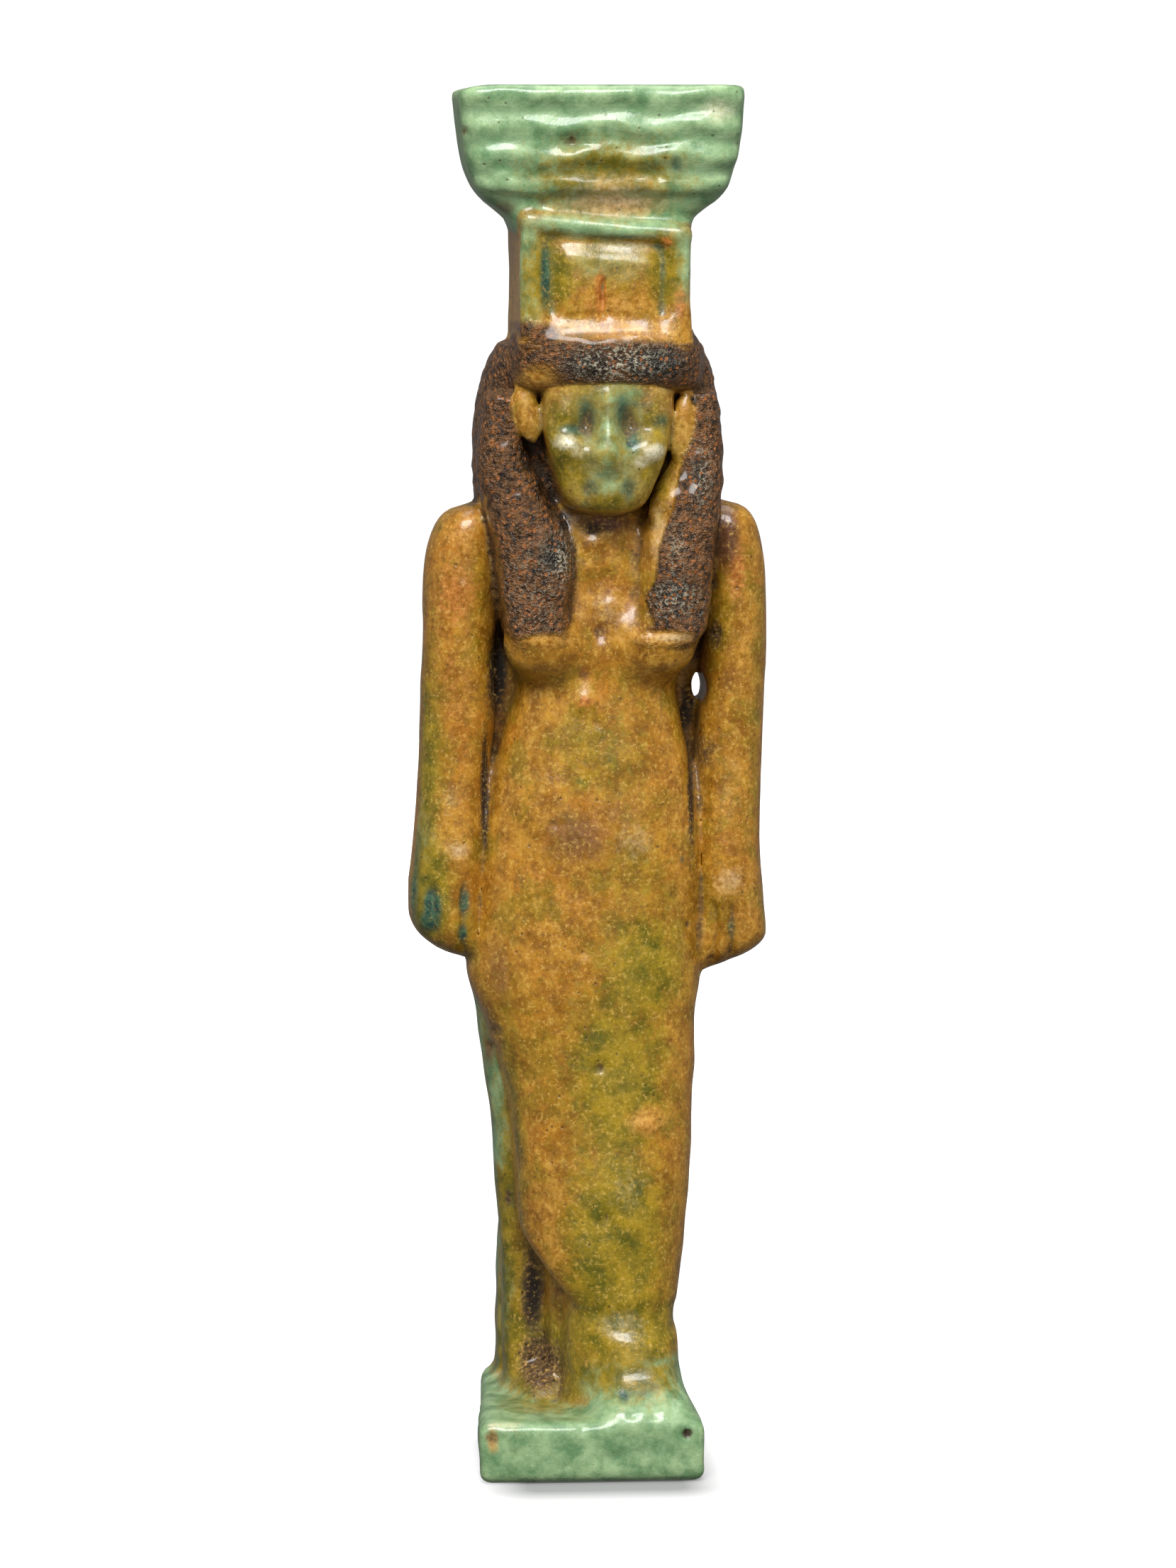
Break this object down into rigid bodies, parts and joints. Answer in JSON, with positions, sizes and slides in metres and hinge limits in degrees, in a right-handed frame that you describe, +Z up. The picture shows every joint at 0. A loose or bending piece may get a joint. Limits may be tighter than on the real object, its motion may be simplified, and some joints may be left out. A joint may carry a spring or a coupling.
{
  "type": "faience deity figurine",
  "caption": "Small moulded faience goddess walking, with a basket-and-house crown, long wig, slab back pillar and a block plinth that it stands on.",
  "frame": {"origin": "middle of the plinth's flat underside, on the surface that the figure stands on", "axes": "+Z up along the figure, -Y the way the goddess faces, +X towards her left side"},
  "size_m": [0.0182, 0.015, 0.07],
  "materials": {
    "glazed_faience": "glossy uneven glaze"
  },
  "bodies": {
    "root": {"figurine": "glazed_faience"}
  },
  "joints": []
}
